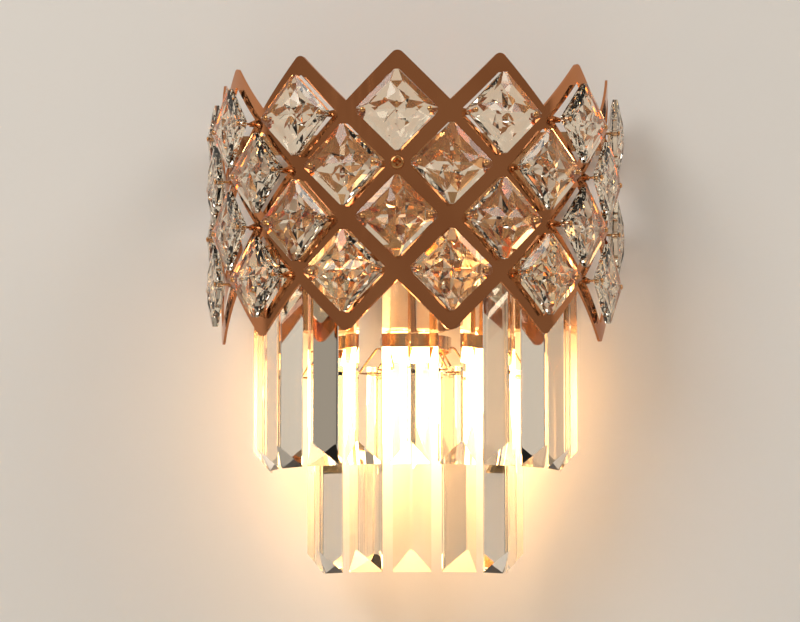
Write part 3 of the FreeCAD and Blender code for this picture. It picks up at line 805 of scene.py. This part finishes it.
@dataclass
class HangingTier:
    """One tier of crystal bars, each hung from its hoop by a wire clip."""

    tier: Tier
    count: int
    finishes: Finishes
    wire: float = 0.55 * MM
    wire_sides: int = 8
    bend: float = 1.0 * MM
    bend_steps: int = 3
    drop: float = 15.5 * MM
    inset: float = 3.7 * MM
    bar_depth: float = 10.5 * MM
    half_top: float = 2.0 * MM
    room_out: float = 3.8 * MM
    room_in: float = 1.9 * MM
    prong: float = 3.0 * MM

    def clip_path(self) -> list[Vector]:
        """The corners of a clip's wire, with the hinge at the origin and the front at -Y."""
        long_edge = self.inset - self.bar_depth
        stops = [(long_edge + self.prong, self.drop), (long_edge - self.room_out, self.drop),
                 (-self.half_top, 0.0), (self.half_top, 0.0),
                 (self.inset + self.room_in, self.drop), (self.inset - self.prong, self.drop)]
        return [Vector((0.0, across, -down)) for across, down in stops]

    def build(self, frame: dict) -> None:
        """Dresses the tier's bars and makes a bent wire clip for each.

        Args:
            frame: The loaded frame.
        """
        hinges = {joint["child"]: joint for joint in frame["record"]["behaviour"]["joints"]}
        for number in range(1, self.count + 1):
            tag = f"{number:02d}"
            Dresser.put(frame, f"{self.tier.value}_bar_{tag}", self.finishes.of("bar_glass"))
            body = f"{self.tier.value}_pendant_{tag}"
            axis = Vector(hinges[body]["axis"])
            angle = math.atan2(-axis.y, -axis.x)
            place = Matrix.Translation(Vector(hinges[body]["pos_m"])) @ Matrix.Rotation(angle, 4, "Z")
            path = Bench.rounded(self.clip_path(), self.bend, self.bend_steps)
            bm = Bench.wire(path, self.wire, self.wire_sides)
            bmesh.ops.transform(bm, matrix=place, verts=bm.verts)
            Bench.finish(f"{self.tier.value}_wire_clip_{tag}", bm, self.finishes.of("fittings"),
                         Slot.SMALL_GOLD, [f"{self.tier.value}_clip_{tag}"], body)


@dataclass(frozen=True)
class PanScrew:
    """A pan-head screw with a tapered cross recess. Its head stands in front of local Z = 0."""

    head: float
    rise: float
    shank: float
    length: float
    recess: float = 2.6 * MM
    point: float = 0.04 * MM
    point_share: float = 0.8
    foot_share: float = 0.97
    crown_share: float = 0.72
    rim_share: float = 0.4
    dome_share: float = 0.5
    dome_steps: int = 6
    sides: int = 28
    arm_length: float = 2.2
    arm_width: float = 0.75
    arm_depth: float = 0.9
    arm_level: float = 0.7
    arm_taper: tuple[float, float, float] = (0.35, 0.25, 1.0)

    def profile(self) -> list[tuple[float, float]]:
        """The half outline, from the point up to the middle of the head."""
        outline = [(0.0, -self.length), (self.shank * self.point_share, -self.length),
                   (self.shank, self.point - self.length), (self.shank, 0.0),
                   (self.head * self.foot_share, 0.0)]
        for turn in Bench.quarter(self.dome_steps):
            across = self.head * (self.crown_share + (1 - self.crown_share) * math.cos(turn))
            outline.append((across, self.rise * (self.rim_share + self.dome_share * math.sin(turn))))
        return outline + [(0.0, self.rise)]

    def mesh(self) -> bmesh.types.BMesh:
        """Turns the screw and cuts its recess.

        Returns:
            The screw's mesh.
        """
        screw = Bench.turn(self.profile(), self.sides)
        size = Matrix.Diagonal((self.recess * self.arm_length, self.recess * self.arm_width,
                                self.rise * self.arm_depth, 1.0))
        for turn in (0.0, math.pi / 2):
            arm = bmesh.new()
            bmesh.ops.create_cube(arm, size=1.0)
            bmesh.ops.scale(arm, vec=self.arm_taper, verts=[vert for vert in arm.verts if vert.co.z < 0])
            lift = Matrix.Translation((0, 0, self.rise * self.arm_level))
            bmesh.ops.transform(arm, matrix=Matrix.Rotation(turn, 4, "Z") @ lift @ size, verts=arm.verts)
            screw = Bench.carve(screw, arm)
        return screw


@dataclass(frozen=True)
class AcornNut:
    """A domed nut with a blind bore and a six-sided skirt. It stands on local Z = 0."""

    bore: float = 2.05 * MM
    bore_depth: float = 4.2 * MM
    foot: float = 3.7 * MM
    body: float = 3.9 * MM
    foot_edge: float = 0.3 * MM
    body_top: float = 3.2 * MM
    dome: float = 3.5 * MM
    dome_foot: float = 3.4 * MM
    dome_rise: float = 3.6 * MM
    dome_steps: int = 8
    sides: int = 30
    skirt: float = 4.6 * MM
    skirt_tall: float = 3.4 * MM
    skirt_middle: float = 1.75 * MM
    skirt_sides: int = 6
    skirt_edge: float = 0.25 * MM
    skirt_bore: float = 3.6 * MM
    skirt_bore_sides: int = 24
    drill: float = 9.0 * MM

    def core(self) -> bmesh.types.BMesh:
        """Turns the dome and the body with their bore."""
        outline = [(0.0, self.bore_depth), (self.bore, self.bore_depth), (self.bore, 0.0), (self.foot, 0.0),
                   (self.body, self.foot_edge), (self.body, self.body_top)]
        for turn in Bench.quarter(self.dome_steps):
            outline.append((self.dome * math.cos(turn), self.dome_foot + self.dome_rise * math.sin(turn)))
        return Bench.turn(outline, self.sides)

    def mesh(self) -> bmesh.types.BMesh:
        """Puts the skirt round the core.

        Returns:
            The nut's mesh.
        """
        skirt = Bench.rod(self.skirt, self.skirt_tall, self.skirt_sides)
        quarter = Matrix.Rotation(math.pi / 2, 3, "Z")
        bmesh.ops.rotate(skirt, verts=skirt.verts, cent=(0, 0, 0), matrix=quarter)
        bmesh.ops.translate(skirt, verts=skirt.verts, vec=(0, 0, self.skirt_middle))
        bmesh.ops.bevel(skirt, geom=list(skirt.edges), offset=self.skirt_edge, segments=2, profile=0.5,
                        affect="EDGES")
        skirt = Bench.carve(skirt, Bench.rod(self.skirt_bore, self.drill, self.skirt_bore_sides))
        mesh = bpy.data.meshes.new("skirt")
        skirt.to_mesh(mesh)
        skirt.free()
        nut = self.core()
        nut.from_mesh(mesh)
        bpy.data.meshes.remove(mesh)
        return nut


@dataclass
class Fasteners:
    """The band's screws and nuts, and the back plate's cap nuts, earth screw, studs and bracket."""

    band: Band
    finishes: Finishes
    band_screw: PanScrew = PanScrew(head=4.0 * MM, rise=2.4 * MM, shank=2.0 * MM, length=8.0 * MM)
    earth_screw: PanScrew = PanScrew(head=3.4 * MM, rise=2.2 * MM, shank=1.75 * MM, length=0.05 * MM)
    earth_place: tuple[float, float, float] = (18.0 * MM, -2.0 * MM, -6.5 * MM)
    cap_nut: AcornNut = AcornNut()
    cap_nut_offset: float = 50.0 * MM
    cap_nut_depth: float = 20.0 * MM

    def build(self, frame: dict) -> None:
        """Makes the screws and cap nuts, and dresses the plain hardware.

        Args:
            frame: The loaded frame.
        """
        screws = Bench.copied(self.band_screw.mesh(), self.band.screw_places())
        Bench.finish("pan_head_screws", screws, self.finishes.of("brass"), Slot.SMALL_GOLD, ["band_screws"])
        front = Matrix.Rotation(math.pi / 2, 4, "X")
        earth = Bench.copied(self.earth_screw.mesh(), [Matrix.Translation(self.earth_place) @ front])
        Bench.finish("earth_pan_screw", earth, self.finishes.of("zinc"), Slot.BACK_STEEL, ["earth_screw"])
        pair = [Matrix.Translation((side * self.cap_nut_offset, -self.cap_nut_depth, 0.0)) @ front
                for side in (-1, 1)]
        nuts = Bench.copied(self.cap_nut.mesh(), pair)
        Bench.finish("acorn_nuts", nuts, self.finishes.of("fittings"), Slot.SMALL_GOLD, ["cap_nuts"])
        Dresser.put(frame, "band_nuts", self.finishes.of("fittings"))
        for node in ("wall_bracket", "bracket_studs"):
            Dresser.put(frame, node, self.finishes.of("zinc"))


@dataclass(frozen=True)
class CandleGlass:
    """The opal glass of a candle lamp, neck up and point down."""

    neck: float = -64.0 * MM
    length: float = 82.0 * MM
    belly: float = 17.4 * MM
    steps: int = 24
    swell_start: float = 0.19
    swell_ease: float = 0.86
    swell_power: float = 0.82

    def profile(self) -> list[tuple[float, float]]:
        """The half outline, from the neck down to the point."""
        outline = [(0.0, self.neck)]
        for step in range(self.steps + 1):
            share = step / self.steps
            swell = math.sin(math.pi * (self.swell_start + (1 - self.swell_start) * share ** self.swell_ease))
            wide = self.belly * swell ** self.swell_power if share < 1 else 0.0
            outline.append((wide, self.neck - self.length * share))
        return outline


@dataclass(frozen=True)
class RibbedHolder:
    """A glazed lamp holder: a nipple on top, a ribbed body, a tapered skirt and a bore for the lamp's cap."""

    top: float = -6.5 * MM
    foot: float = -62.5 * MM
    radius: float = 14.0 * MM
    nipple: float = 5.0 * MM
    nipple_top: float = 1.0 * MM
    nipple_edge: float = 0.4 * MM
    edge: float = 0.8 * MM
    ribs: int = 5
    first_rib: float = 9.0 * MM
    rib_pitch: float = 2.4 * MM
    groove: float = 0.6 * MM
    groove_stops: tuple[float, float, float] = (0.5 * MM, 1.3 * MM, 1.8 * MM)
    body_foot: float = 22.0 * MM
    skirt_top: float = 20.0 * MM
    skirt_steps: tuple[float, float, float] = (1.0 * MM, 1.5 * MM, 2.2 * MM)
    mouth: float = 7.8 * MM
    bore: float = 7.1 * MM
    bore_depth: float = 24.0 * MM

    def profile(self) -> list[tuple[float, float]]:
        """The half outline, from the nipple's top round the foot to the bore's end."""
        wide, foot = self.radius, self.foot
        outline = [(0.0, self.nipple_top), (self.nipple - self.nipple_edge, self.nipple_top),
                   (self.nipple, self.nipple_top - self.nipple_edge), (self.nipple, self.top),
                   (wide - self.edge, self.top), (wide, self.top - self.edge)]
        start, end, out = self.groove_stops
        for rib in range(self.ribs):
            level = self.top - self.first_rib - rib * self.rib_pitch
            outline += [(wide, level), (wide - self.groove, level - start), (wide - self.groove, level - end),
                        (wide, level - out)]
        shoulder, skirt, rim = (wide - step for step in self.skirt_steps)
        return outline + [(wide, foot + self.body_foot), (shoulder, foot + self.skirt_top),
                          (skirt, foot + self.edge), (rim, foot), (self.mouth, foot),
                          (self.bore, foot + self.edge), (self.bore, foot + self.bore_depth),
                          (0.0, foot + self.bore_depth)]


@dataclass
class Lamps:
    """The two candle lamps with their holders, caps, leads and terminal block."""

    finishes: Finishes
    glass: CandleGlass = CandleGlass()
    holder: RibbedHolder = RibbedHolder()
    spacing: float = 54.0 * MM
    depth: float = 46.0 * MM
    sides: int = 48
    lead: float = 1.25 * MM
    lead_sides: int = 12
    lead_bend: float = 3.0 * MM
    lead_bend_steps: int = 5
    lead_turn: float = 13.0 * MM
    lead_level: float = 18.0 * MM
    lead_slant: float = 5.0 * MM
    lead_end: float = 12.0 * MM

    def lead_path(self) -> list[Vector]:
        """The corners of a lead's middle line, from the holder's nipple into the back plate."""
        return [Vector((0, -self.depth, self.holder.nipple_top)), Vector((0, -self.depth, self.lead_turn)),
                Vector((0, self.lead_slant - self.depth, self.lead_level)),
                Vector((0, -self.lead_end, self.lead_level))]

    def build(self, frame: dict) -> None:
        """Makes the lamps, holders and leads, and dresses the caps and the terminal block.

        Args:
            frame: The loaded frame.
        """
        axes = [Matrix.Translation((side * self.spacing / 2, -self.depth, 0.0)) for side in (-1, 1)]
        glasses = Bench.copied(Bench.turn(self.glass.profile(), self.sides), axes)
        Bench.finish("candle_lamps", glasses, self.finishes.of("opal"), Slot.LAMP_OPAL, ["lamp_glasses"])
        holders = Bench.copied(Bench.turn(self.holder.profile(), self.sides), axes)
        Bench.finish("ribbed_holders", holders, self.finishes.of("ceramic"), Slot.HOLDER_WHITE,
                     ["lamp_holders"])
        Dresser.put(frame, "lamp_caps", self.finishes.of("shell"))
        Dresser.put(frame, "terminal_block", self.finishes.of("plastic"))
        path = Bench.rounded(self.lead_path(), self.lead_bend, self.lead_bend_steps)
        shifts = [Matrix.Translation((side * self.spacing / 2, 0, 0)) for side in (-1, 1)]
        leads = Bench.copied(Bench.wire(path, self.lead, self.lead_sides), shifts)
        Bench.finish("sleeved_leads", leads, self.finishes.of("sleeve"), Slot.LEAD, ["holder_leads"])


# ---------------------------------------------------------------- studio
@dataclass(frozen=True)
class Softbox:
    """A soft square light."""

    name: str
    place: tuple[float, float, float]
    size: float
    watts: float
    colour: tuple[float, float, float]

    def hang(self, target: Vector) -> None:
        """Hangs the light and points it.

        Args:
            target: What it points at.
        """
        data = bpy.data.lights.new(self.name, "AREA")
        data.size = self.size
        data.energy = self.watts
        data.color = self.colour
        light = bpy.data.objects.new(self.name, data)
        light.location = self.place
        aim = target - Vector(self.place)
        light.rotation_mode = "QUATERNION"
        light.rotation_quaternion = aim.to_track_quat("-Z", "Y")
        bpy.context.scene.collection.objects.link(light)


@dataclass
class Studio:
    """The pale wall and floor, the soft lights and the camera."""

    band: Band
    azimuth: float = math.radians(5.24)
    elevation: float = math.radians(-5.826)
    distance: float = 2.1152
    aside: float = -9.18 * MM
    target_height: float = -50.2 * MM
    focal_pixels: float = 3498.6
    image_width: float = 800.0
    sensor: float = 36.0
    clip_span: tuple[float, float] = (0.05, 50.0)
    sheet_half: float = 4.0
    wall_back: float = 0.5 * MM
    plate_gap: tuple[float, float] = (72.0 * MM, 52.0 * MM)
    floor_place: tuple[float, float, float] = (0.0, -1.0, -0.75)
    paint: tuple[float, float, float] = (0.86, 0.84, 0.81)
    paint_shade: float = 0.985
    paint_roughness: float = 0.85
    paint_scale: float = 3.0
    key: Softbox = Softbox("key_softbox", (-0.9, -1.5, 0.9), 0.9, 14.0, (1.0, 0.97, 0.93))
    fill: Softbox = Softbox("fill_softbox", (1.3, -1.0, 1.2), 0.8, 8.0, (1.0, 0.97, 0.94))
    soft_surround: tuple[tuple, float] = ((1.0, 0.90, 0.77), 0.33)
    seen_surround: tuple[tuple, float] = ((0.94, 0.93, 0.92), 1.0)

    def camera(self) -> None:
        """Puts the camera where the photograph was taken from."""
        back = Vector((math.sin(self.azimuth) * math.cos(self.elevation),
                       -math.cos(self.azimuth) * math.cos(self.elevation), math.sin(self.elevation)))
        right = Vector((math.cos(self.azimuth), math.sin(self.azimuth), 0.0))
        target = Vector((0.0, -self.band.axis_depth, self.target_height)) + right * self.aside
        data = bpy.data.cameras.new("photo_camera")
        data.sensor_width = self.sensor
        data.lens = self.focal_pixels * self.sensor / self.image_width
        data.clip_start, data.clip_end = self.clip_span
        camera = bpy.data.objects.new("photo_camera", data)
        camera.location = target + back * self.distance
        camera.rotation_mode = "QUATERNION"
        camera.rotation_quaternion = (-back).to_track_quat("-Z", "Y")
        bpy.context.scene.collection.objects.link(camera)
        bpy.context.scene.camera = camera

    def surface(self, name: str, one_sided: bool) -> bpy.types.Material:
        """A pale matt paint.

        Args:
            name: The material's name.
            one_sided: Whether it lets the view through from behind.

        Returns:
            The material.
        """
        board = NodeBoard(name)
        cloudy = board.noise(self.paint_scale, detail=2.0, where=board.places())
        shader = board.shade(Roughness=self.paint_roughness)
        shaded = tuple(part * self.paint_shade for part in self.paint)
        board.join(board.blend(cloudy, shaded, self.paint), shader.inputs["Base Color"])
        if one_sided:
            clear = board.add("ShaderNodeBsdfTransparent")
            facing = board.add("ShaderNodeNewGeometry")
            mix = board.add("ShaderNodeMixShader")
            board.join(facing.outputs["Backfacing"], mix.inputs["Fac"])
            board.join(shader.outputs["BSDF"], mix.inputs[1])
            board.join(clear.outputs["BSDF"], mix.inputs[2])
            board.join(mix.outputs["Shader"], board.output.inputs["Surface"])
        return board.material

    def sheet(self, name: str, place: Matrix, one_sided: bool, gap: tuple = (0.0, 0.0)) -> None:
        """A large flat sheet that isn't part of the light.

        Args:
            name: Its name.
            place: Where it stands. It faces along local Z.
            one_sided: Whether it lets the view through from behind.
            gap: Half the width and height of a gap in its middle.
        """
        bm = bmesh.new()
        turns = ((-1, -1), (1, -1), (1, 1), (-1, 1))
        outer = [bm.verts.new((across * self.sheet_half, up * self.sheet_half, 0.0)) for across, up in turns]
        if all(gap):
            inner = [bm.verts.new((across * gap[0], up * gap[1], 0.0)) for across, up in turns]
            for step in range(len(turns)):
                after = (step + 1) % len(turns)
                bm.faces.new((outer[step], outer[after], inner[after], inner[step]))
        else:
            bm.faces.new(outer)
        bmesh.ops.transform(bm, matrix=place, verts=bm.verts)
        piece = Bench.placed(name, bm)
        piece.data.materials.append(self.surface(f"{name}_paint", one_sided))

    def world(self) -> None:
        """A pale surround: white where the camera sees it, and an even soft light for everything else."""
        world = bpy.data.worlds.new("pale_room")
        bpy.context.scene.world = world
        world.use_nodes = True
        tree = world.node_tree
        tree.nodes.clear()
        output = tree.nodes.new("ShaderNodeOutputWorld")
        path = tree.nodes.new("ShaderNodeLightPath")
        mix = tree.nodes.new("ShaderNodeMixShader")
        tree.links.new(path.outputs["Is Camera Ray"], mix.inputs["Fac"])
        for socket, (colour, strength) in enumerate((self.soft_surround, self.seen_surround), start=1):
            surround = tree.nodes.new("ShaderNodeBackground")
            surround.inputs["Color"].default_value = (*colour, 1.0)
            surround.inputs["Strength"].default_value = strength
            tree.links.new(surround.outputs["Background"], mix.inputs[socket])
        tree.links.new(mix.outputs["Shader"], output.inputs["Surface"])

    def build(self) -> None:
        """Sets up the whole studio."""
        self.camera()
        self.world()
        upright = Matrix.Translation((0.0, self.wall_back, 0.0)) @ Matrix.Rotation(math.pi / 2, 4, "X")
        self.sheet("pale_wall", upright, True, self.plate_gap)
        self.sheet("pale_floor", Matrix.Translation(self.floor_place), False)
        for softbox in (self.key, self.fill):
            softbox.hang(Vector((0.0, -self.band.axis_depth, self.target_height)))
        bpy.context.scene.view_settings.view_transform = "Standard"
        LOG.info("studio ready")


def main() -> None:
    """Loads the frame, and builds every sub-assembly in order."""
    logging.basicConfig(level=logging.INFO, format="%(name)s: %(message)s")
    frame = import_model()
    finishes = Finishes()
    band = Band(finishes)
    band.dress(frame)
    crystals = SquareCrystals(band, finishes)
    crystals.crystals()
    crystals.pins()
    for tier, count in ((Tier.UPPER, 11), (Tier.LOWER, 7)):
        HangingTier(tier, count, finishes).build(frame)
    Fasteners(band, finishes).build(frame)
    Lamps(finishes).build(frame)
    Studio(band).build()


if __name__ == "__main__":
    main()
